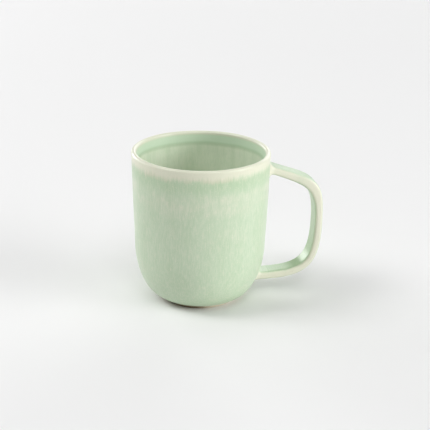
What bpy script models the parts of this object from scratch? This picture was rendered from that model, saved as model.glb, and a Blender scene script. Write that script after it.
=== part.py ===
"""A wheel-thrown stoneware mug with a strap handle.

The cup and the handle are bare clay, two slip fillets hold the handle on, and three thin coats of
glaze cover the outside, the inside and the handle. Sizes are those of the finished mug, over its
glaze, and each piece lies a stated depth below that surface. Touching pieces keep a small gap.
Everything is built around the cup's axis, with the handle towards +X.
"""
import math

import bmesh
import bpy
from mathutils import Vector
from mathutils.geometry import interpolate_bezier

# Cup
CUP_HEIGHT = 0.0952
RIM_RADIUS = 0.0425
LIP_THICKNESS = 0.0031
WALL_THICKNESS = 0.0048
BELLY_RADIUS = 0.0405        # where the straight wall begins to turn in
BELLY_HEIGHT = 0.0340
BELLY_FULLNESS = 1.8         # exponent of the bottom curve, where 2 is an ellipse
WAIST_RADIUS = 0.0250        # lower edge of the outer glaze
CAVITY_FULLNESS = 2.8        # exponent of the bottom curve inside
FLOOR_THICKNESS = 0.0062

# Foot ring
FOOT_RADIUS = 0.0238
FOOT_HEIGHT = 0.0030
FOOT_WIDTH = 0.0042
FOOT_CHAMFER = 0.0005
RECESS_DEPTH = 0.0016
RECESS_SLOPE = 0.0008

# Handle
HANDLE_REACH = 0.0774        # cup's axis to the outside of the strap
BOW_HEIGHT = 0.0466          # height of the strap's outermost point
UPPER_ROOT_HEIGHT = 0.0825
LOWER_ROOT_HEIGHT = 0.0118
UPPER_DROOP = math.radians(21)
ROOT_STRAIGHT = 0.0058       # straight stretch next to the wall
UPPER_ROOT_PULL = 0.0228     # how far each end of a curve keeps its direction
UPPER_BOW_PULL = 0.0258
LOWER_BOW_PULL = 0.0282
LOWER_ROOT_PULL = 0.0280
STRAP_WIDTH = 0.0126
STRAP_THICKNESS = 0.0050
STRAP_EDGE_RADIUS = 0.0018
BEND_SWELL = 0.0017          # how much thicker the strap gets in its upper bend
FILLET_RADIUS = 0.0038

# Glaze
GLAZE_THICKNESS = 0.0004
GLAZE_LAP = 0.0075           # how far the outer coat runs down inside the lip
COAT_BAND = 0.0010           # least height of coat left between the lower fillet and the foot
GAP = 0.0003                 # between touching pieces
CLAY_DEPTH = GLAZE_THICKNESS + GAP

# Fineness
SEGMENTS = 48
LIP_STEPS = 6
BELLY_STEPS = 10
WALL_STEPS = 3
CORNER_STEPS = 3
FACE_STEPS = 4
HALF_HANDLE_STEPS = 10
FILLET_STEPS = 3
MERGE_DISTANCE = 0.000001
SHARP_ANGLE = math.radians(40)
WINDOW_DEPTH = 0.002         # how far a window's cutter reaches past the wall's surface, both ways

# Colour, roughness and metallic of each finish
FINISHES = {
    "bare_stoneware": ((0.72, 0.64, 0.50), 0.85, 0.0),
    "clay_slip": ((0.66, 0.58, 0.45), 0.80, 0.0),
    "mint_glaze": ((0.48, 0.64, 0.46), 0.28, 0.0),
    "liner_glaze": ((0.42, 0.57, 0.38), 0.22, 0.0),
}


def bottom_curve(turn, fullness):
    """Share of the width and of the drop along a rounded bottom, at a turn from 0 to a quarter."""
    return math.cos(turn) ** (2 / fullness), math.sin(turn) ** (2 / fullness)


def outer_radius(height):
    """Radius of the glazed outside at a height above the foot ring."""
    if height >= BELLY_HEIGHT:
        share = (height - BELLY_HEIGHT) / (CUP_HEIGHT - BELLY_HEIGHT)
        return BELLY_RADIUS + (RIM_RADIUS - BELLY_RADIUS) * share
    drop = (BELLY_HEIGHT - height) / (BELLY_HEIGHT - FOOT_HEIGHT)
    width = (1 - drop ** BELLY_FULLNESS) ** (1 / BELLY_FULLNESS)
    return WAIST_RADIUS + (BELLY_RADIUS - WAIST_RADIUS) * width


def quarter_turns(steps):
    """Angles from 0 to a quarter turn."""
    return [math.pi / 2 * step / steps for step in range(steps + 1)]


def outside_curve():
    """Glazed outline from the foot up the outside, over the lip and down to the edge of the lap."""
    curve = []
    for turn in reversed(quarter_turns(BELLY_STEPS)):
        width, drop = bottom_curve(turn, BELLY_FULLNESS)
        radius = WAIST_RADIUS + (BELLY_RADIUS - WAIST_RADIUS) * width
        curve.append((radius, BELLY_HEIGHT - (BELLY_HEIGHT - FOOT_HEIGHT) * drop))
    lip_radius = LIP_THICKNESS / 2
    lip_height = CUP_HEIGHT - lip_radius
    for step in range(1, WALL_STEPS):
        height = BELLY_HEIGHT + (lip_height - BELLY_HEIGHT) * step / WALL_STEPS
        curve.append((outer_radius(height), height))
    for step in range(LIP_STEPS + 1):
        turn = math.pi * step / LIP_STEPS
        curve.append((RIM_RADIUS - lip_radius + lip_radius * math.cos(turn),
                      lip_height + lip_radius * math.sin(turn)))
    curve.append(cavity_wall_point(CUP_HEIGHT - GLAZE_LAP))
    return curve


def cavity_wall_point(height):
    """Point of the cup's inner wall, which is straight from the lip down to the belly."""
    top = CUP_HEIGHT - LIP_THICKNESS / 2
    share = (height - BELLY_HEIGHT) / (top - BELLY_HEIGHT)
    belly = BELLY_RADIUS - WALL_THICKNESS
    return belly + (RIM_RADIUS - LIP_THICKNESS - belly) * share, height


def inside_curve():
    """Glazed outline from just below the lap down the inner wall to the middle of the floor."""
    top = CUP_HEIGHT - GLAZE_LAP - GAP
    curve = []
    for step in range(WALL_STEPS):
        curve.append(cavity_wall_point(top + (BELLY_HEIGHT - top) * step / WALL_STEPS))
    floor = RECESS_DEPTH + FLOOR_THICKNESS
    for turn in quarter_turns(BELLY_STEPS):
        width, drop = bottom_curve(turn, CAVITY_FULLNESS)
        curve.append(((BELLY_RADIUS - WALL_THICKNESS) * width, BELLY_HEIGHT - (BELLY_HEIGHT - floor) * drop))
    curve[-1] = (0.0, floor)
    return curve


def sunk(curve, depth):
    """The curve moved a depth into the clay, which lies on its left as it is followed."""
    moved = []
    for place, (radius, height) in enumerate(curve):
        before = curve[max(place - 1, 0)]
        after = curve[min(place + 1, len(curve) - 1)]
        along = Vector((after[0] - before[0], after[1] - before[1])).normalized()
        moved.append((radius - along.y * depth, height + along.x * depth))
    if curve[-1][0] == 0.0:
        moved[-1] = (0.0, curve[-1][1] - depth)
    return moved


def foot_curve():
    """Underside outline, from the middle of the recess out round the foot ring and up to the wall."""
    inner = FOOT_RADIUS - FOOT_WIDTH
    return [(0.0, RECESS_DEPTH),
            (inner - RECESS_SLOPE, RECESS_DEPTH),
            (inner, FOOT_CHAMFER),
            (inner + FOOT_CHAMFER, 0.0),
            (FOOT_RADIUS - FOOT_CHAMFER, 0.0),
            (FOOT_RADIUS, FOOT_CHAMFER),
            (FOOT_RADIUS, FOOT_HEIGHT + CLAY_DEPTH)]


def finish(name):
    """Plain material of one of the finishes."""
    material = bpy.data.materials.get(name)
    if material:
        return material
    colour, roughness, metallic = FINISHES[name]
    material = bpy.data.materials.new(name)
    material.use_nodes = True
    shader = material.node_tree.nodes["Principled BSDF"]
    shader.inputs["Base Color"].default_value = (*colour, 1.0)
    shader.inputs["Roughness"].default_value = roughness
    shader.inputs["Metallic"].default_value = metallic
    return material


def add_piece(name, bm, finish_name, mug):
    """Turns a finished bmesh into a smooth-shaded object on the mug."""
    bmesh.ops.remove_doubles(bm, verts=bm.verts, dist=MERGE_DISTANCE)
    bmesh.ops.recalc_face_normals(bm, faces=bm.faces)
    mesh = bpy.data.meshes.new(name)
    bm.to_mesh(mesh)
    bm.free()
    mesh.shade_smooth()
    mesh.set_sharp_from_angle(angle=SHARP_ANGLE)
    piece = bpy.data.objects.new(name, mesh)
    bpy.context.collection.objects.link(piece)
    piece.parent = mug
    if finish_name:
        mesh.materials.append(finish(finish_name))
    return piece


def turned(outline, closed):
    """Spins an outline of (radius, height) points about the cup's axis."""
    bm = bmesh.new()
    verts = [bm.verts.new((radius, 0.0, height)) for radius, height in outline]
    edges = [bm.edges.new(pair) for pair in zip(verts, verts[1:])]
    if closed:
        edges.append(bm.edges.new((verts[-1], verts[0])))
    bmesh.ops.spin(bm, geom=verts + edges, cent=(0, 0, 0), axis=(0, 0, 1),
                   angle=2 * math.pi, steps=SEGMENTS, use_merge=True)
    return bm


def strap_section(depth, swell):
    """Strap's section as (thickness, width) offsets from its middle, a depth inside its glaze."""
    corner = STRAP_EDGE_RADIUS - depth
    through = (STRAP_THICKNESS + swell) / 2 - STRAP_EDGE_RADIUS
    across = STRAP_WIDTH / 2 - STRAP_EDGE_RADIUS
    section = []
    for quarter, (upward, sideways) in enumerate(((1, 1), (-1, 1), (-1, -1), (1, -1))):
        for turn in quarter_turns(CORNER_STEPS):
            angle = turn + quarter * math.pi / 2
            section.append((upward * through + corner * math.cos(angle),
                            sideways * across + corner * math.sin(angle)))
        if upward != sideways:
            for step in range(1, FACE_STEPS):
                section.append((upward * (through + corner),
                                sideways * across * (1 - 2 * step / FACE_STEPS)))
    return section


class Station:
    """A place on the strap's middle line, with its heading, its outward side and its extra thickness."""

    def __init__(self, point, heading, swell=0.0):
        self.point = point
        self.swell = swell
        self.heading = heading.normalized()
        self.outward = Vector((-self.heading.z, 0.0, self.heading.x))

    def spot(self, offset):
        """Point of the strap's section here."""
        thickness, width = offset
        return self.point + self.outward * thickness + Vector((0.0, width, 0.0))

    def ring(self, depth):
        """Ring of points round the strap here, a depth inside its glaze."""
        return [self.spot(offset) for offset in strap_section(depth, self.swell)]

    def wall_ring(self, depth, rise):
        """Ring at a root, slid along the strap until it stands this far off the glazed wall."""
        ring = []
        for spot in self.ring(depth):
            wall = math.sqrt(outer_radius(spot.z) ** 2 - spot.y ** 2)
            ring.append(spot + self.heading * ((wall + rise - spot.x) / self.heading.x))
        return ring


def roots():
    """The strap's two ends, where its middle line meets the wall, headed along it from top to bottom."""
    upper = Vector((outer_radius(UPPER_ROOT_HEIGHT), 0.0, UPPER_ROOT_HEIGHT))
    lower = Vector((outer_radius(LOWER_ROOT_HEIGHT), 0.0, LOWER_ROOT_HEIGHT))
    return (Station(upper, Vector((math.cos(UPPER_DROOP), 0.0, -math.sin(UPPER_DROOP)))),
            Station(lower, Vector((-1.0, 0.0, 0.0))))


def strap_stations():
    """Stations between the roots: two smooth curves that meet at the strap's outermost point."""
    upper, lower = roots()
    start = upper.point + upper.heading * ROOT_STRAIGHT
    end = lower.point - lower.heading * ROOT_STRAIGHT
    bow = Vector((HANDLE_REACH - STRAP_THICKNESS / 2, 0.0, BOW_HEIGHT))
    down = Vector((0.0, 0.0, -1.0))
    count = HALF_HANDLE_STEPS + 1
    first = interpolate_bezier(start, start + upper.heading * UPPER_ROOT_PULL,
                               bow - down * UPPER_BOW_PULL, bow, count)
    second = interpolate_bezier(bow, bow + down * LOWER_BOW_PULL,
                                end - lower.heading * LOWER_ROOT_PULL, end, count)
    line = [*first, *second[1:]]
    headings = [after - before for before, after in zip(line, line[2:])]
    headings = [upper.heading, *headings, lower.heading]
    headings[HALF_HANDLE_STEPS] = down
    swells = [BEND_SWELL * math.sin(math.pi * step / HALF_HANDLE_STEPS) ** 2 for step in range(count)]
    swells += [0.0] * HALF_HANDLE_STEPS
    return [Station(*place) for place in zip(line, headings, swells)]


def fillet_radius(root):
    """Radius of the fillet at a root, limited by the stretch of glazed wall that lies below it."""
    wall_below = root.point.z - FOOT_HEIGHT - STRAP_THICKNESS / 2
    return min(FILLET_RADIUS, wall_below - GAP - COAT_BAND)


def fillet_rings(root, depth, first_turn, last_turn):
    """Rings of the hollow curve from the wall on to the strap, a depth inside the glaze."""
    radius = fillet_radius(root)
    rings = []
    for step in range(FILLET_STEPS + 1):
        turn = first_turn + (last_turn - first_turn) * step / FILLET_STEPS
        reach = radius + depth
        rings.append(root.wall_ring(reach * math.sin(turn) - radius, radius - reach * math.cos(turn)))
    return rings


def skinned(rings, closed):
    """Bridges each ring of points to the next, and the last to the first where the shape closes."""
    bm = bmesh.new()
    loops = []
    for ring in rings:
        verts = [bm.verts.new(point) for point in ring]
        loops.append([bm.edges.new(pair) for pair in zip(verts, verts[1:] + verts[:1])])
    pairs = list(zip(loops, loops[1:]))
    if closed:
        pairs.append((loops[-1], loops[0]))
    for one, other in pairs:
        bmesh.ops.bridge_loops(bm, edges=one + other)
    return bm


def close_end(bm, first_vert, count):
    """Caps an end ring with strips that run through the strap, so that the cap follows the wall."""
    bm.verts.ensure_lookup_table()
    ring = [bm.verts[first_vert + place] for place in range(count)]
    bm.faces.new(ring)
    last_of_side = 2 * CORNER_STEPS + 1
    for place in range(count):
        facing = (last_of_side - place) % count
        if place < facing and facing - place > 1 and facing - place < count - 1:
            bmesh.ops.connect_verts(bm, verts=[ring[place], ring[facing]])


def add_cup_body(mug):
    """Clay cup: floor, wall, lip and the foot ring turned from the same clay."""
    wall = sunk(outside_curve() + inside_curve(), CLAY_DEPTH)
    return add_piece("cup_body", turned(foot_curve() + wall, closed=False), "bare_stoneware", mug)


def add_handle(mug):
    """Clay strap, whose ends stand a gap off the clay wall."""
    upper, lower = roots()
    rings = [upper.wall_ring(CLAY_DEPTH, -GLAZE_THICKNESS)]
    rings += [station.ring(CLAY_DEPTH) for station in strap_stations()]
    rings.append(lower.wall_ring(CLAY_DEPTH, -GLAZE_THICKNESS))
    bm = skinned(rings, closed=False)
    count = len(rings[0])
    close_end(bm, 0, count)
    close_end(bm, count * (len(rings) - 1), count)
    return add_piece("handle", bm, "bare_stoneware", mug)


def add_slip_fillet(name, root, mug):
    """Slip in the corner between wall and strap: a ring of three-cornered section."""
    radius = fillet_radius(root)
    corner = math.acos((radius + GLAZE_THICKNESS) / (radius + CLAY_DEPTH))
    rings = [root.wall_ring(GLAZE_THICKNESS, -GLAZE_THICKNESS)]
    rings += fillet_rings(root, CLAY_DEPTH, corner, math.pi / 2 - corner)[:-1]
    rings.append(root.wall_ring(GLAZE_THICKNESS, radius - (radius + CLAY_DEPTH) * math.sin(corner)))
    return add_piece(name, skinned(rings, closed=True), "clay_slip", mug)


def add_handle_glaze(mug):
    """Coat on the strap, which spreads over the fillets into the windows of the outer coat."""
    upper, lower = roots()
    rings = []
    for depth in (0.0, GLAZE_THICKNESS):
        side = fillet_rings(upper, depth, 0.0, math.pi / 2)
        side += [station.ring(depth) for station in strap_stations()]
        side += reversed(fillet_rings(lower, depth, 0.0, math.pi / 2))
        rings += side if depth == 0.0 else reversed(side)
    return add_piece("handle_glaze", skinned(rings, closed=True), "mint_glaze", mug)


def add_window_cutter(name, root, mug):
    """Hidden block that opens the outer coat where the handle's coat spreads on to the wall."""
    edge = -(fillet_radius(root) + GAP)
    rings = [root.wall_ring(edge, rise) for rise in (-WINDOW_DEPTH, WINDOW_DEPTH)]
    bm = skinned(rings, closed=False)
    count = len(rings[0])
    close_end(bm, 0, count)
    close_end(bm, count, count)
    cutter = add_piece(name, bm, None, mug)
    cutter.hide_render = True
    cutter.display_type = 'WIRE'
    return cutter


def add_outer_glaze(mug):
    """Coat from the foot over the lip to its lap inside, with a window for each end of the handle."""
    curve = outside_curve()
    bm = turned(curve + list(reversed(sunk(curve, GLAZE_THICKNESS))), closed=True)
    coat = add_piece("outer_glaze", bm, "mint_glaze", mug)
    for root, end in zip(roots(), ("upper", "lower")):
        window = coat.modifiers.new(f"{end}_window", 'BOOLEAN')
        window.object = add_window_cutter(f"{end}_window_cutter", root, mug)
        window.operation = 'DIFFERENCE'
        window.solver = 'EXACT'
    return coat


def add_inner_glaze(mug):
    """Liner coat, from the outer coat's lap down to the floor."""
    curve = inside_curve()
    bm = turned(list(reversed(curve)) + sunk(curve, GLAZE_THICKNESS), closed=False)
    return add_piece("inner_glaze", bm, "liner_glaze", mug)


def main():
    for old in list(bpy.data.objects):
        bpy.data.objects.remove(old)
    mug = bpy.data.objects.new("mug", None)
    mug.location.x = (RIM_RADIUS - HANDLE_REACH) / 2
    bpy.context.collection.objects.link(mug)
    upper, lower = roots()
    add_cup_body(mug)
    add_handle(mug)
    add_slip_fillet("upper_slip_fillet", upper, mug)
    add_slip_fillet("lower_slip_fillet", lower, mug)
    add_outer_glaze(mug)
    add_inner_glaze(mug)
    add_handle_glaze(mug)


main()
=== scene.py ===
"""Looks of a handmade stoneware mug: fine clay and glaze surfaces round its packed model, and a studio.

Every piece is in metres, in the model's own frame: +Z up, the handle towards +X.
"""

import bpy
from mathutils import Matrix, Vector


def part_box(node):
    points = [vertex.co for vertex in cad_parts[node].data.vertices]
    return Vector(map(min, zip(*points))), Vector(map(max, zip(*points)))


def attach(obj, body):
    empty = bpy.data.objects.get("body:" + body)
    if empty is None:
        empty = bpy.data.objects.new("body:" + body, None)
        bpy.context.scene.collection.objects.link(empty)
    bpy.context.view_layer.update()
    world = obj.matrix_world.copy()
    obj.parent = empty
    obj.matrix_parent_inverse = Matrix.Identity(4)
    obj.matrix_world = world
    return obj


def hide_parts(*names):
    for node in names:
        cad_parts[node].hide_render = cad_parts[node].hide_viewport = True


bl_info = {
    "name": "Glazed Stoneware Mug",
    "version": (1, 0, 0),
    "blender": (4, 5, 0),
    "location": "3D View > Sidebar > Mug",
    "description": "Fine clay and glaze surfaces of a handmade mug, with a plain studio",
    "category": "Object",
}

import math

import bmesh
import bpy
from bpy.props import FloatProperty, FloatVectorProperty, PointerProperty
from mathutils import Matrix, Vector, noise
from mathutils.geometry import interpolate_bezier

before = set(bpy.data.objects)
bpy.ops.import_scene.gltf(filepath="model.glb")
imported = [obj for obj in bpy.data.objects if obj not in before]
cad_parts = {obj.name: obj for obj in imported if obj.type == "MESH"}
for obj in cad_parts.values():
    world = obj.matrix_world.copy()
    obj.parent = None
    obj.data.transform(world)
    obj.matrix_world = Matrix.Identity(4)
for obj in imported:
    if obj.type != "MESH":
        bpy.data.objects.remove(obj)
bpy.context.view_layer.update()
BODY = "root"

COAT_LOW, COAT_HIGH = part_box("outer_glaze")
STRAP_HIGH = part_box("handle_glaze")[1]
AXIS_X = (COAT_LOW.x + COAT_HIGH.x) / 2
MM = 0.001

# Fineness of the meshes
ROUND_STEPS = 192
BELLY_STEPS = 36
WALL_STEPS = 24
LIP_STEPS = 20
LAP_STEPS = 8
EDGE_STEPS = 6
CORNER_STEPS = 8
FACE_STEPS = 10
FILLET_STEPS = 12
HALF_STRAP_STEPS = 32
MERGE_DISTANCE = 1e-7
LIGHT_DISTANCE = 3.0
BACKDROP_RADIUS = 2.2
BACKDROP_HEIGHT = 12.0
FLOOR_HALF_WIDTH = 6.0

# Where the two coats meet inside the lip, and where the outer one ends at the foot
TUCK_RUN = 2.5 * MM
TUCK_DEPTH = 0.14 * MM
DRIP_BAND = 1.5 * MM
FOOT_CALM_HEIGHT = 10 * MM
WOBBLE_SHIFTS = (Vector((0.0, 0.0, 0.0)), Vector((13.1, 5.3, 7.9)), Vector((3.7, 17.9, 11.3)))


def length(name, description, default):
    """A size in metres that the panel shows with its unit."""
    return FloatProperty(name=name, description=description, default=default,
                         precision=5, unit='LENGTH')


def factor(name, description, default, high=1.0):
    """A plain number."""
    return FloatProperty(name=name, description=description, default=default, min=0.0, max=high)


def tint(name, description, default):
    """A colour in linear light."""
    return FloatVectorProperty(name=name, description=description, default=default,
                               size=3, min=0.0, max=1.0, subtype='COLOR')


class MugCupSizes(bpy.types.PropertyGroup):
    """Sizes of the finished cup, over its glaze"""
    height: length("Height", "Table to the top of the lip", COAT_HIGH.z)
    rim_radius: length("Rim radius", "Axis to the outside of the rim", (COAT_HIGH.x - COAT_LOW.x) / 2)
    lip: length("Lip", "Thickness of the lip", 0.0031)
    wall: length("Wall", "Thickness of the wall at the belly", 0.0048)
    belly_radius: length("Belly radius", "Outside where the wall begins to turn in", 0.0405)
    belly_height: length("Belly height", "Height where the wall begins to turn in", 0.034)
    belly_fullness: factor("Belly fullness", "Exponent of the bottom curve", 1.8, 4.0)
    waist_radius: length("Waist radius", "Lower edge of the outer glaze", 0.025)
    glaze_line: length("Glaze line", "Height of the outer glaze's lower edge", COAT_LOW.z)
    cavity_fullness: factor("Cavity fullness", "Exponent of the bottom curve inside", 2.8, 4.0)
    floor: length("Floor height", "Table to the inside of the floor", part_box("inner_glaze")[0].z + 0.0004)
    lap: length("Lap", "How far the outer glaze runs down inside the lip", 0.0075)


class MugFootSizes(bpy.types.PropertyGroup):
    """Sizes of the turned foot"""
    radius: length("Foot radius", "Outside of the foot ring, where it stands", 0.0230)
    width: length("Foot width", "Width of the foot ring", 0.0036)
    edge: length("Foot edge", "Radius of the ring's worn edges", 0.0006)
    recess: length("Recess", "Depth of the hollow inside the ring", 0.0016)
    groove_pitch: length("Groove pitch", "Spacing of the turning grooves", 0.0014)
    groove_depth: length("Groove depth", "Depth of the turning grooves", 0.00008)


class MugStrapSizes(bpy.types.PropertyGroup):
    """Sizes of the strap handle, over its glaze"""
    reach: length("Reach", "Cup's axis to the outside of the strap", STRAP_HIGH.x - AXIS_X)
    bow_height: length("Bow height", "Height of the outermost point", 0.0466)
    upper_root: length("Upper root", "Height where the upper limb meets the wall", 0.0825)
    lower_root: length("Lower root", "Height where the lower limb meets the wall", 0.0118)
    droop: FloatProperty(name="Droop", description="How far the upper limb falls from level",
                         default=math.radians(21), subtype='ANGLE')
    straight: length("Straight", "Straight stretch next to the wall", 0.0058)
    upper_root_pull: length("Upper root pull", "How far the upper limb keeps its direction", 0.0228)
    upper_bow_pull: length("Upper bow pull", "How far the bow stays upright above", 0.0258)
    lower_bow_pull: length("Lower bow pull", "How far the bow stays upright below", 0.0282)
    lower_root_pull: length("Lower root pull", "How far the lower limb keeps its direction", 0.028)
    width: length("Strap width", "Width of the strap", 0.0126)
    thickness: length("Strap thickness", "Thickness of the strap", 0.005)
    swell: length("Bend swell", "How much thicker the strap gets in its upper bend", 0.0017)
    edge: length("Strap edge", "Radius of the strap's long edges", 0.0018)
    fillet: length("Fillet", "Radius of the smoothed joint at the wall", 0.0038)


class MugHandSizes(bpy.types.PropertyGroup):
    """How uneven the hand left it, and how thick the glaze is"""
    coat: length("Coat", "Thickness of the glaze", 0.0005)
    clay_depth: length("Clay depth", "Depth of the clay under the finished surface", 0.00056)
    wobble: length("Wobble", "Unevenness of the form", 0.0004)
    wobble_pitch: length("Wobble pitch", "Distance between rises in the form", 0.045)
    edge_wander: length("Edge wander", "How far the glaze's lower edge wanders", 0.0005)


class MugGlazeColours(bpy.types.PropertyGroup):
    """Colours of the glaze and the clay"""
    mint: tint("Mint", "Ordinary glaze", (0.55, 0.67, 0.49))
    # Deep is also the painted shade in the strap's lower bend.
    deep_glaze_and_shade: tint("Deep", "Where the glaze is thick or has run", (0.45, 0.60, 0.39))
    cloud: tint("Cloud", "Warm pale clouds in the glaze", (0.67, 0.71, 0.56))
    cream: tint("Cream", "Where the glaze breaks thin over an edge", (0.80, 0.78, 0.64))
    toast: tint("Toast", "Warm blush next to thin glaze", (0.76, 0.64, 0.50))
    lap: tint("Lap", "Outer glaze inside the lip", (0.68, 0.82, 0.64))
    liner: tint("Liner", "Liner glaze", (0.77, 0.84, 0.68))
    pool: tint("Pool", "Liner glaze where it is deepest", (0.44, 0.58, 0.34))
    clay: tint("Clay", "Bare fired clay", (0.74, 0.66, 0.50))
    # Dark clay is both the clay's dark grains and a painted shade on the foot's left side.
    dark_grain_and_shade: tint("Dark clay", "Grains and painted shade in the clay", (0.24, 0.17, 0.10))


class MugStudio(bpy.types.PropertyGroup):
    """Camera, floor and lights"""
    distance: length("Distance", "Camera to the cup's axis, along the floor", 0.673)
    height: length("Camera height", "Camera above the floor", 0.305)
    around: FloatProperty(name="Around", description="Camera's turn round the cup from the front",
                          default=math.radians(-10.5), subtype='ANGLE')
    aside: FloatProperty(name="Aside", description="How far the camera looks past the cup's axis",
                         default=math.radians(0.77), subtype='ANGLE')
    tilt: FloatProperty(name="Tilt", description="How far the camera looks down",
                        default=math.radians(20.52), subtype='ANGLE')
    roll: FloatProperty(name="Roll", description="Camera's turn about its own line of sight",
                        default=math.radians(1.01), subtype='ANGLE')
    lens: factor("Lens", "Focal length in millimetres", 97.1, 300.0)
    floor_colour: tint("Floor", "Paper that the mug stands on", (0.86, 0.86, 0.86))
    room: factor("Room", "Strength of the room's own light", 0.02, 5.0)
    overhead: factor("Overhead", "Power of the light above", 18.0, 400.0)
    front: factor("Front", "Power of the light above the camera", 20.0, 400.0)
    key: factor("Key", "Power of the low light at the right", 41.0, 400.0)
    wide_key: factor("Wide key", "Power of the broad light at the right", 29.0, 400.0)
    high_left: factor("High left", "Power of the light that casts the shadow", 35.0, 400.0)
    far_left: factor("Far left", "Power of the light at the left, a little behind the mug", 17.0, 400.0)
    back_left: factor("Back left", "Power of the low light behind the mug's left", 34.0, 400.0)
    back_right: factor("Back right", "Power of the broad light behind the mug's right", 32.0, 400.0)


class Wire:
    """A shader value: Python arithmetic on it adds Math nodes."""

    def __init__(self, finish, socket):
        self.finish = finish
        self.socket = socket

    def math(self, operation, *others, clamp=False):
        settings = {"operation": operation, "use_clamp": clamp}
        return self.finish.node("ShaderNodeMath", settings, [self, *others])

    def __add__(self, other):
        return self.math('ADD', other)

    __radd__ = __add__

    def __sub__(self, other):
        return self.math('SUBTRACT', other)

    def __rsub__(self, other):
        return self.finish.node("ShaderNodeMath", {"operation": 'SUBTRACT'}, [other, self])

    def __mul__(self, other):
        return self.math('MULTIPLY', other)

    __rmul__ = __mul__

    def __truediv__(self, other):
        return self.math('DIVIDE', other)

    def between(self, low, high):
        """0 below low, 1 above high and a smooth rise between, or a fall where low is the larger."""
        settings = {"interpolation_type": 'SMOOTHSTEP'}
        if low < high:
            return self.finish.node("ShaderNodeMapRange", settings,
                                    {"Value": self, "From Min": low, "From Max": high})
        return 1 - self.finish.node("ShaderNodeMapRange", settings,
                                    {"Value": self, "From Min": high, "From Max": low})


class Finish:
    """A procedural material while it is being put together."""

    def __init__(self, name):
        self.material = bpy.data.materials.new(name)
        self.material.use_nodes = True
        self.tree = self.material.node_tree
        self.shader = self.tree.nodes["Principled BSDF"]

    def node(self, kind, settings, inputs, output=0):
        """Adds a node: its settings first, then its sockets by name or in order."""
        made = self.tree.nodes.new(kind)
        for key, value in settings.items():
            setattr(made, key, value)
        named = inputs.items() if isinstance(inputs, dict) else enumerate(inputs)
        for key, value in named:
            self.feed(made.inputs[key], value)
        return Wire(self, made.outputs[output])

    def feed(self, socket, value):
        """Links a wire to a socket, or sets the socket's own value."""
        if isinstance(value, Wire):
            self.tree.links.new(value.socket, socket)
        else:
            socket.default_value = (*value, 1.0) if socket.type == 'RGBA' else value

    def surface(self, **values):
        """Sets or links the shader's sockets, which are named with spaces for underscores."""
        for key, value in values.items():
            self.feed(self.shader.inputs[key.replace("_", " ")], value)

    def place(self):
        """Object coordinates, measured from the cup's axis."""
        spot = self.node("ShaderNodeTexCoord", {}, {}, "Object")
        return self.node("ShaderNodeVectorMath", {"operation": 'SUBTRACT'}, [spot, (AXIS_X, 0.0, 0.0)])

    def parts(self, vector):
        """The three numbers of a vector."""
        apart = self.tree.nodes.new("ShaderNodeSeparateXYZ")
        self.feed(apart.inputs[0], vector)
        return [Wire(self, output) for output in apart.outputs]

    def grain(self, place, size, detail=2.0, roughness=0.5, shift=0.0):
        """Noise from 0 to 1 whose lumps have this size along x, y and z, in metres."""
        scaled = self.node("ShaderNodeVectorMath", {"operation": 'MULTIPLY_ADD'},
                           [place, [1 / part for part in size], (shift, shift, shift)])
        return self.node("ShaderNodeTexNoise", {},
                         {"Vector": scaled, "Scale": 1.0, "Detail": detail, "Roughness": roughness})

    def blend(self, share, first, second):
        """Colour between two colours."""
        made = self.tree.nodes.new("ShaderNodeMix")
        made.data_type = 'RGBA'
        self.feed(made.inputs["Factor"], share)
        self.feed(made.inputs[6], first)
        self.feed(made.inputs[7], second)
        return Wire(self, made.outputs[2])

    def bump(self, height, depth):
        """Normal of a height from 0 to 1 that stands for this depth in metres."""
        return self.node("ShaderNodeBump", {}, {"Height": height, "Distance": depth, "Strength": 1.0},
                         "Normal")


def new_mesh_object(name, bm, material, slot_name, *nodes):
    """Turns a finished bmesh into a smooth piece that rides on the mug in place of its CAD nodes."""
    bmesh.ops.remove_doubles(bm, verts=bm.verts, dist=MERGE_DISTANCE)
    bmesh.ops.recalc_face_normals(bm, faces=bm.faces)
    mesh = bpy.data.meshes.new(name)
    bm.to_mesh(mesh)
    bm.free()
    mesh.shade_smooth()
    mesh.materials.append(material)
    piece = bpy.data.objects.new(name, mesh)
    bpy.context.scene.collection.objects.link(piece)
    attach(piece, BODY)
    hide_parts(*nodes)
    return piece


def made_once(name, build):
    """The material of this name, which is built the first time it is asked for."""
    return bpy.data.materials.get(name) or build(name)


def quarter_turns(steps):
    """Angles from 0 to a quarter turn."""
    return [math.pi / 2 * step / steps for step in range(steps + 1)]


def outer_radius(cup, height):
    """Radius of the finished outside at a height."""
    if height >= cup.belly_height:
        share = (height - cup.belly_height) / (cup.height - cup.belly_height)
        return cup.belly_radius + (cup.rim_radius - cup.belly_radius) * share
    drop = (cup.belly_height - height) / (cup.belly_height - cup.glaze_line)
    width = (1 - drop ** cup.belly_fullness) ** (1 / cup.belly_fullness)
    return cup.waist_radius + (cup.belly_radius - cup.waist_radius) * width


def cavity_point(cup, height):
    """Point of the straight inner wall at a height."""
    top = cup.height - cup.lip / 2
    share = (height - cup.belly_height) / (top - cup.belly_height)
    belly = cup.belly_radius - cup.wall
    return belly + (cup.rim_radius - cup.lip - belly) * share, height


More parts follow.
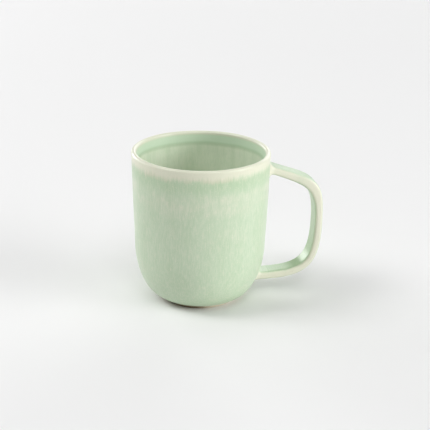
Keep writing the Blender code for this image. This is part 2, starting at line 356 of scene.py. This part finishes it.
def outside_curve(cup):
    """Finished outline from the glaze's lower edge up the outside, over the lip and down the lap."""
    curve = []
    for turn in reversed(quarter_turns(BELLY_STEPS)):
        width = math.cos(turn) ** (2 / cup.belly_fullness)
        drop = math.sin(turn) ** (2 / cup.belly_fullness)
        curve.append((cup.waist_radius + (cup.belly_radius - cup.waist_radius) * width,
                      cup.belly_height - (cup.belly_height - cup.glaze_line) * drop))
    half_lip = cup.lip / 2
    lip_height = cup.height - half_lip
    for step in range(1, WALL_STEPS):
        height = cup.belly_height + (lip_height - cup.belly_height) * step / WALL_STEPS
        curve.append((outer_radius(cup, height), height))
    for step in range(LIP_STEPS + 1):
        turn = math.pi * step / LIP_STEPS
        curve.append((cup.rim_radius - half_lip + half_lip * math.cos(turn),
                      lip_height + half_lip * math.sin(turn)))
    for step in range(1, LAP_STEPS + 1):
        curve.append(cavity_point(cup, lip_height - (cup.lap - half_lip) * step / LAP_STEPS))
    return curve


def inside_curve(cup):
    """Finished outline from the lap down the inner wall to the middle of the floor."""
    top = cup.height - cup.lap
    curve = [cavity_point(cup, top + (cup.belly_height - top) * step / WALL_STEPS)
             for step in range(WALL_STEPS)]
    for turn in quarter_turns(BELLY_STEPS):
        width = math.cos(turn) ** (2 / cup.cavity_fullness)
        drop = math.sin(turn) ** (2 / cup.cavity_fullness)
        curve.append(((cup.belly_radius - cup.wall) * width,
                      cup.belly_height - (cup.belly_height - cup.floor) * drop))
    curve[-1] = (0.0, cup.floor)
    return curve


def tuck_in(cup, way):
    """Short run of the inner wall past the glaze line inside, up or down, that dips under the surface."""
    curve = []
    for step in range(1, LAP_STEPS + 1):
        share = step / LAP_STEPS
        radius, height = cavity_point(cup, cup.height - cup.lap + way * TUCK_RUN * share)
        curve.append((radius + TUCK_DEPTH * share ** 2, height))
    return curve


def sunk(curve, depth):
    """The curve moved a depth into the clay, which lies on its left as it is followed."""
    moved = []
    for place, (radius, height) in enumerate(curve):
        before = curve[max(place - 1, 0)]
        after = curve[min(place + 1, len(curve) - 1)]
        along = Vector((after[0] - before[0], after[1] - before[1])).normalized()
        moved.append((radius - along.y * depth, height + along.x * depth))
    if curve[-1][0] == 0.0:
        moved[-1] = (0.0, curve[-1][1] - depth)
    return moved


def rolled_edge(start, end):
    """Half-round edge from one side of a coat to the other, without its two ends."""
    start, end = Vector(start), Vector(end)
    middle = (start + end) / 2
    spoke = start - middle
    turned_points = []
    for step in range(1, EDGE_STEPS):
        turn = math.pi * step / EDGE_STEPS
        across = Vector((-spoke.y, spoke.x))
        turned_points.append(tuple(middle + spoke * math.cos(turn) + across * math.sin(turn)))
    return turned_points


def foot_curve(cup, foot, depth):
    """Underside outline, from the middle of the recess out round the foot ring and up to the glaze."""
    inner = foot.radius - foot.width
    grooves = round(inner / foot.groove_pitch)
    steps_per_groove = 8
    flat = inner - foot.recess
    curve = []
    for step in range(grooves * steps_per_groove + 1):
        share = step / (grooves * steps_per_groove)
        groove = math.cos(2 * math.pi * share * grooves) * foot.groove_depth
        curve.append((flat * share, foot.recess + groove * (1 - share) ** 0.2))
    curve[-1] = (flat, foot.recess)
    for turn in quarter_turns(EDGE_STEPS)[1:]:
        curve.append((flat + (foot.recess - foot.edge) * math.sin(turn),
                      foot.recess - (foot.recess - foot.edge) * (1 - math.cos(turn))))
    for turn in quarter_turns(EDGE_STEPS):
        curve.append((inner + foot.edge * (1 - math.cos(turn)), foot.edge * (1 - math.sin(turn))))
    for turn in quarter_turns(EDGE_STEPS):
        rolled = turn * 0.6
        curve.append((foot.radius - foot.edge * (1 - math.sin(rolled)), foot.edge * (1 - math.cos(rolled))))
    curve.append((cup.waist_radius - 0.45 * MM, cup.glaze_line - 0.1 * MM))
    curve.append((cup.waist_radius - 0.25 * MM, cup.glaze_line + depth * 0.9))
    return curve


def turned(outline, closed):
    """Spins an outline of (radius, height) points about the cup's axis."""
    bm = bmesh.new()
    verts = [bm.verts.new((AXIS_X + radius, 0.0, height)) for radius, height in outline]
    edges = [bm.edges.new(pair) for pair in zip(verts, verts[1:])]
    if closed:
        edges.append(bm.edges.new((verts[-1], verts[0])))
    bmesh.ops.spin(bm, geom=verts + edges, cent=(AXIS_X, 0, 0), axis=(0, 0, 1),
                   angle=2 * math.pi, steps=ROUND_STEPS, use_merge=True)
    return bm


def hand_shaped(bm, hand):
    """Moves the whole form a little, as a hand leaves it, but keeps the foot flat on the table."""
    for vert in bm.verts:
        spot = vert.co / hand.wobble_pitch
        push = Vector([noise.noise(spot + shift) for shift in WOBBLE_SHIFTS]) * hand.wobble
        vert.co += push * min(1.0, vert.co.z / FOOT_CALM_HEIGHT)


def wander_edge(bm, cup, hand):
    """Lets the outer glaze's lower edge run down on to the foot here and there."""
    for vert in bm.verts:
        above = vert.co.z - cup.glaze_line
        if above < DRIP_BAND:
            out = Vector((vert.co.x - AXIS_X, vert.co.y, 0.0)).normalized()
            wave = 0.5 + noise.noise(out * 2.2 + Vector((0.0, 0.0, 3.7)))
            wave += 0.4 * noise.noise(out * 9 + Vector((0.0, 0.0, 8.1)))
            run = max(wave, 0.0) * hand.edge_wander * (1 - max(above, 0.0) / DRIP_BAND)
            vert.co -= (out + Vector((0.0, 0.0, 1.0))) * run


def strap_section(strap, depth, swell=0.0):
    """Strap's section as (thickness, width, edge) for each point, a depth inside its glaze."""
    corner = strap.edge - depth
    through = (strap.thickness + swell) / 2 - strap.edge
    across = strap.width / 2 - strap.edge
    section = []
    for quarter, (upward, sideways) in enumerate(((1, 1), (-1, 1), (-1, -1), (1, -1))):
        for turn in quarter_turns(CORNER_STEPS):
            angle = turn + quarter * math.pi / 2
            section.append((upward * through + corner * math.cos(angle),
                            sideways * across + corner * math.sin(angle),
                            abs(math.sin(angle)) ** 0.6))
        if upward != sideways:
            for step in range(1, FACE_STEPS):
                side = 1 - 2 * step / FACE_STEPS
                section.append((upward * (through + corner), sideways * across * side, 0.0))
    return section


class Station:
    """A place on the strap's middle line, with its heading, its outward side and its extra thickness."""

    def __init__(self, cup, strap, point, heading, swell=0.0):
        self.cup = cup
        self.strap = strap
        self.point = point
        self.swell = swell
        self.heading = heading.normalized()
        self.outward = Vector((-self.heading.z, 0.0, self.heading.x))

    def ring(self, depth):
        """Points round the strap here, a depth inside its glaze."""
        return [self.point + self.outward * thickness + Vector((0.0, width, 0.0))
                for thickness, width, _ in strap_section(self.strap, depth, self.swell)]

    def wall_ring(self, depth, rise):
        """Ring at a root, slid along the strap until it stands this far off the finished wall."""
        ring = []
        for spot in self.ring(depth):
            wall = AXIS_X + math.sqrt(outer_radius(self.cup, spot.z) ** 2 - spot.y ** 2)
            ring.append(spot + self.heading * ((wall + rise - spot.x) / self.heading.x))
        return ring


def strap_line(cup, strap):
    """Stations at the two roots, and those between them from top to bottom."""
    upper = Vector((AXIS_X + outer_radius(cup, strap.upper_root), 0.0, strap.upper_root))
    lower = Vector((AXIS_X + outer_radius(cup, strap.lower_root), 0.0, strap.lower_root))
    fall = Vector((math.cos(strap.droop), 0.0, -math.sin(strap.droop)))
    home = Vector((-1.0, 0.0, 0.0))
    down = Vector((0.0, 0.0, -1.0))
    start = upper + fall * strap.straight
    end = lower - home * strap.straight
    bow = Vector((AXIS_X + strap.reach - strap.thickness / 2, 0.0, strap.bow_height))
    count = HALF_STRAP_STEPS + 1
    first = interpolate_bezier(start, start + fall * strap.upper_root_pull,
                               bow - down * strap.upper_bow_pull, bow, count)
    second = interpolate_bezier(bow, bow + down * strap.lower_bow_pull,
                                end - home * strap.lower_root_pull, end, count)
    line = [*first, *second[1:]]
    headings = [after - before for before, after in zip(line, line[2:])]
    headings = [fall, *headings, home]
    swells = [strap.swell * math.sin(math.pi * step / HALF_STRAP_STEPS) ** 2 for step in range(count)]
    swells += [0.0] * HALF_STRAP_STEPS
    between = [Station(cup, strap, *place) for place in zip(line, headings, swells)]
    return Station(cup, strap, upper, fall), between, Station(cup, strap, lower, home)


def fillet_rings(root, depth):
    """Rings of the hollow curve from the wall on to the strap, a depth inside the glaze."""
    radius = root.strap.fillet
    rings = []
    for turn in quarter_turns(FILLET_STEPS):
        rings.append(root.wall_ring((radius + depth) * math.sin(turn) - radius,
                                    radius - (radius + depth) * math.cos(turn)))
    return rings


def skinned(rings):
    """Bridges each ring of points to the next, and the last to the first."""
    bm = bmesh.new()
    loops = []
    for ring in rings:
        verts = [bm.verts.new(point) for point in ring]
        loops.append([bm.edges.new(pair) for pair in zip(verts, verts[1:] + verts[:1])])
    for one, other in zip(loops, loops[1:] + loops[:1]):
        bmesh.ops.bridge_loops(bm, edges=one + other)
    return bm


def glaze_look(name, liner):
    """Reactive mint glaze: streaks that ran down, pale clouds, and cream where it breaks thin."""
    colours = bpy.context.scene.mug_colours
    cup = bpy.context.scene.mug_cup
    top = cup.height
    finish = Finish(name)
    place = finish.place()
    x, y, z = finish.parts(place)
    radius = (x * x + y * y).math('SQRT')
    fine = finish.grain(place, (0.75 * MM, 0.75 * MM, 4.5 * MM), detail=3.0, roughness=0.6)
    speck = finish.grain(place, (0.55 * MM, 0.55 * MM, 0.9 * MM), detail=1.0, shift=61.0)
    broad = finish.grain(place, (6 * MM, 6 * MM, 30 * MM), detail=2.0, shift=11.0)
    cloud = finish.grain(place, (17 * MM, 17 * MM, 8 * MM), detail=3.0, roughness=0.55, shift=31.0)
    mottle = finish.grain(place, (2.6 * MM, 2.6 * MM, 3.6 * MM), detail=2.0, shift=47.0)
    drip = finish.grain(place, (1.4 * MM, 1.4 * MM, 22 * MM), detail=2.0, shift=19.0) - 0.5
    waver = finish.grain(place, (9 * MM, 9 * MM, 30 * MM), detail=2.0, shift=5.0) - 0.5
    level = z + waver * (6 * MM)
    ragged = z + waver * (3 * MM) + drip * (5 * MM)
    on_cup = radius.between(cup.rim_radius + 1.4 * MM, cup.rim_radius + 0.6 * MM)
    edge = finish.node("ShaderNodeAttribute", {"attribute_name": "edge"}, {}, "Fac")
    if liner:
        colour = finish.blend(level.between(top - 30 * MM, top - 42 * MM) * 0.95, colours.liner, colours.pool)
        colour = finish.blend(cloud.between(0.40, 0.66) * 0.18, colour, colours.mint)
    else:
        beige = level.between(top - 31 * MM, top - 22 * MM) * level.between(top - 13 * MM, top - 18 * MM)
        colour = finish.blend(beige * on_cup * cloud.between(0.25, 0.65) * 0.6, colours.mint, colours.cloud)
        colour = finish.blend(cloud.between(0.52, 0.72) * 0.25, colour, colours.cloud)
        under_lip = ragged.between(top - 18 * MM, top - 9 * MM)
        colour = finish.blend(under_lip * on_cup * (0.35 + broad * 0.7), colour, colours.deep_glaze_and_shade)
        # The strap's faces turn deeper green along both limbs; low down, under about 40 mm, this is painted
        # shade in the shaded lower bend.
        strap_face = (1 - on_cup) * edge.between(0.8, 0.2)
        limb_deep_and_bend_shade = z.between(top - 36 * MM, top - 25 * MM).math('MAXIMUM', z.between(40 * MM, 22 * MM) * 1.4)
        colour = finish.blend((strap_face * limb_deep_and_bend_shade).between(0.0, 1.0), colour, colours.deep_glaze_and_shade)
        colour = finish.blend(level.between(15 * MM, 4 * MM) * 0.55, colour, colours.deep_glaze_and_shade)
    colour = finish.blend(broad.between(0.42, 0.66) * 0.22, colour, colours.deep_glaze_and_shade)
    grit = 0.4 if liner else 0.85
    colour = finish.blend(fine.between(0.44, 0.66) * (0.34 * grit), colour, colours.deep_glaze_and_shade)
    colour = finish.blend(fine.between(0.52, 0.34) * (0.26 * grit), colour, colours.cream)
    colour = finish.blend(speck.between(0.58, 0.74) * (0.40 * grit), colour, colours.cream)
    seam = finish.grain(place, (22 * MM, 22 * MM, 30 * MM), detail=1.0, shift=71.0) - 0.5
    line = ((z + seam * (2 * MM) - (top - cup.lap)).math('ABSOLUTE')).between(2.2 * MM, 0.1 * MM)
    inside = radius.between(cup.rim_radius - cup.lip + 0.7 * MM, cup.rim_radius - cup.lip - 0.1 * MM)
    if not liner:
        colour = finish.blend(inside * z.between(top - 30 * MM, top - 20 * MM) * 0.85, colour, colours.lap)
        blush = ragged.between(top - 9 * MM, top - 6.5 * MM) * ragged.between(top - 3 * MM, top - 5 * MM)
        colour = finish.blend(blush * (1 - inside) * on_cup * cloud.between(0.45, 0.65) * 0.3,
                              colour, colours.toast)
        lip_wide = ragged.between(top - 8.2 * MM, top - 3.4 * MM) * (1 - inside)
        lip_thin = z.between(top - 2.8 * MM, top - 0.9 * MM)
        colour = finish.blend(lip_wide.math('MAXIMUM', lip_thin) * on_cup * 0.8, colour, colours.cream)
        colour = finish.blend((edge + waver * 0.6).between(0.50, 1.0) * 0.85, colour, colours.cream)
        rim_of_foot = z.between(cup.glaze_line + 0.7 * MM, cup.glaze_line - 0.1 * MM)
        colour = finish.blend(rim_of_foot * 0.65, colour, colours.cream)
    colour = finish.blend(line * inside * 0.6, colour, colours.deep_glaze_and_shade)
    peel = finish.grain(place, (1.1 * MM, 1.1 * MM, 1.4 * MM), detail=2.0, shift=3.0)
    relief = peel * 0.5 + fine * 0.35 + mottle * 0.6
    finish.surface(Base_Color=colour, Roughness=0.30 + mottle * 0.18, Normal=finish.bump(relief, 0.05 * MM))
    finish.surface(Coat_Weight=0.25, Coat_Roughness=0.24, Specular_IOR_Level=0.5)
    return finish.material


def outer_glaze_look(name):
    """Glaze of the outside and the handle."""
    return glaze_look(name, liner=False)


def liner_glaze_look(name):
    """Glaze of the inside."""
    return glaze_look(name, liner=True)


def clay_look(name):
    """Bare fired clay: fine grain, iron specks, a warm blush next to the glaze, and painted shade on the
    foot's left side.
    """
    colours = bpy.context.scene.mug_colours
    cup = bpy.context.scene.mug_cup
    finish = Finish(name)
    place = finish.place()
    x, _, z = finish.parts(place)
    stain = finish.grain(place, (9 * MM, 9 * MM, 5 * MM), detail=3.0)
    sand = finish.grain(place, (0.35 * MM, 0.35 * MM, 0.35 * MM), detail=2.0, shift=17.0)
    speck = finish.grain(place, (0.9 * MM, 0.9 * MM, 0.9 * MM), detail=1.0, shift=29.0)
    colour = finish.blend(stain.between(0.35, 0.7) * 0.5, colours.clay, colours.cream)
    colour = finish.blend(sand.between(0.45, 0.75) * 0.25, colour, colours.dark_grain_and_shade)
    colour = finish.blend(speck.between(0.70, 0.74) * 0.8, colour, colours.dark_grain_and_shade)
    blush = z.between(cup.glaze_line - 1.6 * MM, cup.glaze_line + 0.3 * MM)
    colour = finish.blend(blush * 0.3, colour, colours.toast)
    # Painted shade: the clay darkens towards the foot's left side, away from the key light, where the gap
    # under the belly is in shade.
    painted_left_shade = (x + (stain - 0.5) * (16 * MM)).between(4 * MM, -10 * MM)
    colour = finish.blend(painted_left_shade * 0.85, colour, colours.dark_grain_and_shade)
    finish.surface(Base_Color=colour, Roughness=0.78 + sand * 0.2,
                   Normal=finish.bump(sand * 0.7 + speck * 0.3, 0.06 * MM))
    return finish.material


def paper_look(name):
    """Matt studio paper with a faint tooth."""
    studio = bpy.context.scene.mug_studio
    finish = Finish(name)
    place = finish.place()
    tooth = finish.grain(place, (0.8 * MM, 0.8 * MM, 0.8 * MM), detail=2.0)
    shade = finish.grain(place, (0.4, 0.4, 0.4), detail=1.0, shift=2.0)
    darker = [part * 0.985 for part in studio.floor_colour]
    colour = finish.blend(shade * 0.6 + tooth * 0.4, studio.floor_colour, darker)
    finish.surface(Base_Color=colour, Roughness=0.9, Specular_IOR_Level=0.2)
    return finish.material


def backdrop_look(name):
    """Pale paper, evenly lit, with a faint unevenness."""
    studio = bpy.context.scene.mug_studio
    finish = Finish(name)
    shade = finish.grain(finish.place(), (1.5, 1.5, 1.5), detail=1.0, shift=4.0)
    darker = [part * 0.96 for part in studio.floor_colour]
    colour = finish.blend(shade, studio.floor_colour, darker)
    finish.surface(Base_Color=colour, Roughness=0.9, Emission_Color=colour, Emission_Strength=0.4)
    return finish.material


class MUG_OT_clay_cup(bpy.types.Operator):
    """Makes the thrown clay cup with its turned foot"""
    bl_idname = "mug.clay_cup"
    bl_label = "Clay Cup"

    def execute(self, context):
        scene = context.scene
        cup, hand = scene.mug_cup, scene.mug_hand
        wall = sunk(outside_curve(cup) + inside_curve(cup)[1:], hand.clay_depth)
        bm = turned(foot_curve(cup, scene.mug_foot, hand.clay_depth) + wall, closed=False)
        hand_shaped(bm, hand)
        new_mesh_object("clay_cup", bm, made_once("Bare stoneware", clay_look), "bare_stoneware", "cup_body")
        return {'FINISHED'}


class MUG_OT_outer_glaze(bpy.types.Operator):
    """Makes the glaze outside the cup, over its lip and down its lap"""
    bl_idname = "mug.outer_glaze"
    bl_label = "Outer Glaze"

    def execute(self, context):
        scene = context.scene
        cup, hand = scene.mug_cup, scene.mug_hand
        curve = outside_curve(cup) + tuck_in(cup, -1)
        under = list(reversed(sunk(curve, hand.coat)))
        outline = curve + rolled_edge(curve[-1], under[0]) + under + rolled_edge(under[-1], curve[0])
        bm = turned(outline, closed=True)
        wander_edge(bm, cup, hand)
        hand_shaped(bm, hand)
        new_mesh_object("mint_outer_glaze", bm, made_once("Mint glaze", outer_glaze_look),
                        "mint_glaze", "outer_glaze")
        return {'FINISHED'}


class MUG_OT_liner_glaze(bpy.types.Operator):
    """Makes the glaze inside the cup"""
    bl_idname = "mug.liner_glaze"
    bl_label = "Liner Glaze"

    def execute(self, context):
        scene = context.scene
        cup, hand = scene.mug_cup, scene.mug_hand
        curve = list(reversed(tuck_in(cup, 1))) + inside_curve(cup)
        under = sunk(curve, hand.coat)
        outline = list(reversed(curve)) + under
        bm = turned(outline, closed=False)
        hand_shaped(bm, hand)
        new_mesh_object("liner_glaze_coat", bm, made_once("Liner glaze", liner_glaze_look),
                        "liner_glaze", "inner_glaze")
        return {'FINISHED'}


class MUG_OT_strap_glaze(bpy.types.Operator):
    """Makes the glazed strap handle, smoothed into the wall at both ends"""
    bl_idname = "mug.strap_glaze"
    bl_label = "Glazed Strap"

    def execute(self, context):
        scene = context.scene
        strap, hand = scene.mug_strap, scene.mug_hand
        upper, between, lower = strap_line(scene.mug_cup, strap)
        rings = []
        for depth in (0.0, hand.coat):
            side = fillet_rings(upper, depth)
            side += [station.ring(depth) for station in between]
            side += reversed(fillet_rings(lower, depth))
            rings += side if depth == 0.0 else reversed(side)
        bm = skinned(rings)
        edge_layer = bm.verts.layers.float.new("edge")
        edges = [edge for _, _, edge in strap_section(strap, 0.0)]
        for place, vert in enumerate(bm.verts):
            vert[edge_layer] = edges[place % len(edges)]
        hand_shaped(bm, hand)
        new_mesh_object("mint_strap_glaze", bm, made_once("Mint glaze", outer_glaze_look),
                        "mint_glaze", "handle_glaze")
        return {'FINISHED'}


class MUG_OT_hidden_clay(bpy.types.Operator):
    """Finishes the clay strap and the slip fillets, which the glaze covers"""
    bl_idname = "mug.hidden_clay"
    bl_label = "Hidden Clay"

    def execute(self, context):
        clay = made_once("Bare stoneware", clay_look)
        for name in ("handle", "upper_slip_fillet", "lower_slip_fillet"):
            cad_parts[name].data.materials.clear()
            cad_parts[name].data.materials.append(clay)
        return {'FINISHED'}


class MUG_OT_studio(bpy.types.Operator):
    """Makes the floor, the lights and the camera"""
    bl_idname = "mug.studio"
    bl_label = "Studio"

    def execute(self, context):
        scene = context.scene
        studio = scene.mug_studio
        add_floor(scene)
        add_backdrop(scene)
        add_room_light(scene, studio.room)
        target = Vector((AXIS_X, 0.0, scene.mug_cup.height / 2))
        add_softbox(scene, "overhead_light", target, 0, 88, 3.0, 3.0, studio.overhead)
        add_softbox(scene, "front_light", target, 0, 50, 1.2, 1.2, studio.front)
        add_softbox(scene, "key_light", target, 60, 11, 1.2, 1.2, studio.key)
        add_softbox(scene, "wide_key_light", target, 60, 20, 2.8, 1.2, studio.wide_key)
        add_softbox(scene, "high_left_light", target, -90, 50, 1.2, 1.2, studio.high_left)
        add_softbox(scene, "far_left_light", target, -120, 20, 1.2, 1.2, studio.far_left)
        add_softbox(scene, "back_left_light", target, -150, 11, 1.2, 1.2, studio.back_left)
        add_softbox(scene, "back_right_light", target, 150, 20, 2.8, 1.2, studio.back_right)
        add_camera(scene, studio)
        scene.view_settings.view_transform = 'Standard'
        return {'FINISHED'}


def add_floor(scene):
    """Wide sheet of paper at table height."""
    bm = bmesh.new()
    bmesh.ops.create_grid(bm, x_segments=1, y_segments=1, size=FLOOR_HALF_WIDTH)
    mesh = bpy.data.meshes.new("paper_floor")
    bm.to_mesh(mesh)
    bm.free()
    mesh.materials.append(paper_look("Studio paper"))
    floor = bpy.data.objects.new("paper_floor", mesh)
    scene.collection.objects.link(floor)


def add_backdrop(scene):
    """Pale wall far round the mug, which only the camera sees, so that it changes no light."""
    bm = bmesh.new()
    bmesh.ops.create_cone(bm, cap_ends=False, segments=96, radius1=BACKDROP_RADIUS,
                          radius2=BACKDROP_RADIUS, depth=BACKDROP_HEIGHT)
    mesh = bpy.data.meshes.new("paper_backdrop")
    bm.to_mesh(mesh)
    bm.free()
    mesh.materials.append(backdrop_look("Studio backdrop"))
    wall = bpy.data.objects.new("paper_backdrop", mesh)
    for sense in ("diffuse", "glossy", "transmission", "volume_scatter", "shadow"):
        setattr(wall, f"visible_{sense}", False)
    scene.collection.objects.link(wall)


def add_room_light(scene, strength):
    """Even white light from all round."""
    world = bpy.data.worlds.new("studio_room")
    world.use_nodes = True
    world.node_tree.nodes["Background"].inputs["Color"].default_value = (1.0, 1.0, 1.0, 1.0)
    world.node_tree.nodes["Background"].inputs["Strength"].default_value = strength
    scene.world = world


def add_softbox(scene, name, target, around, above, width, height, power):
    """Oblong light that faces the target from afar, turned round it from the front and raised, in degrees."""
    turn, rise = math.radians(around), math.radians(above)
    back = Vector((math.sin(turn) * math.cos(rise), -math.cos(turn) * math.cos(rise), math.sin(rise)))
    data = bpy.data.lights.new(name, 'AREA')
    data.shape = 'RECTANGLE'
    data.size = width
    data.size_y = height
    data.energy = power
    light = bpy.data.objects.new(name, data)
    light.location = target + back * LIGHT_DISTANCE
    light.rotation_euler = back.to_track_quat('Z', 'Y').to_euler()
    light.visible_camera = False
    scene.collection.objects.link(light)


def add_camera(scene, studio):
    """Camera that looks slightly down on the mug from its front left."""
    data = bpy.data.cameras.new("studio_camera")
    data.lens = studio.lens
    data.clip_start = 0.01
    camera = bpy.data.objects.new("studio_camera", data)
    turn = studio.around
    spot = Vector((AXIS_X + studio.distance * math.sin(turn), -studio.distance * math.cos(turn),
                   studio.height))
    camera.matrix_world = (Matrix.Translation(spot) @ Matrix.Rotation(turn - studio.aside, 4, 'Z')
                           @ Matrix.Rotation(math.pi / 2 - studio.tilt, 4, 'X')
                           @ Matrix.Rotation(studio.roll, 4, 'Z'))
    scene.collection.objects.link(camera)
    scene.camera = camera


class MUG_PT_panel(bpy.types.Panel):
    """Lists the mug's pieces and their sizes"""
    bl_label = "Mug"
    bl_space_type = 'VIEW_3D'
    bl_region_type = 'UI'
    bl_category = "Mug"

    def draw(self, context):
        for operator in OPERATORS:
            self.layout.operator(operator.bl_idname)
        for name, group in GROUPS.items():
            box = self.layout.box()
            box.label(text=group.__doc__)
            for key in group.__annotations__:
                box.prop(getattr(context.scene, name), key)


GROUPS = {
    "mug_cup": MugCupSizes,
    "mug_foot": MugFootSizes,
    "mug_strap": MugStrapSizes,
    "mug_hand": MugHandSizes,
    "mug_colours": MugGlazeColours,
    "mug_studio": MugStudio,
}
OPERATORS = (
    MUG_OT_clay_cup,
    MUG_OT_outer_glaze,
    MUG_OT_liner_glaze,
    MUG_OT_strap_glaze,
    MUG_OT_hidden_clay,
    MUG_OT_studio,
)


def register():
    for group in GROUPS.values():
        bpy.utils.register_class(group)
    for name, group in GROUPS.items():
        setattr(bpy.types.Scene, name, PointerProperty(type=group))
    for operator in OPERATORS:
        bpy.utils.register_class(operator)
    bpy.utils.register_class(MUG_PT_panel)


def unregister():
    bpy.utils.unregister_class(MUG_PT_panel)
    for operator in reversed(OPERATORS):
        bpy.utils.unregister_class(operator)
    for name in GROUPS:
        delattr(bpy.types.Scene, name)
    for group in reversed(list(GROUPS.values())):
        bpy.utils.unregister_class(group)


def main():
    register()
    for operator in OPERATORS:
        call = operator.bl_idname.split(".")[1]
        getattr(bpy.ops.mug, call)()


if __name__ == "__main__":
    main()
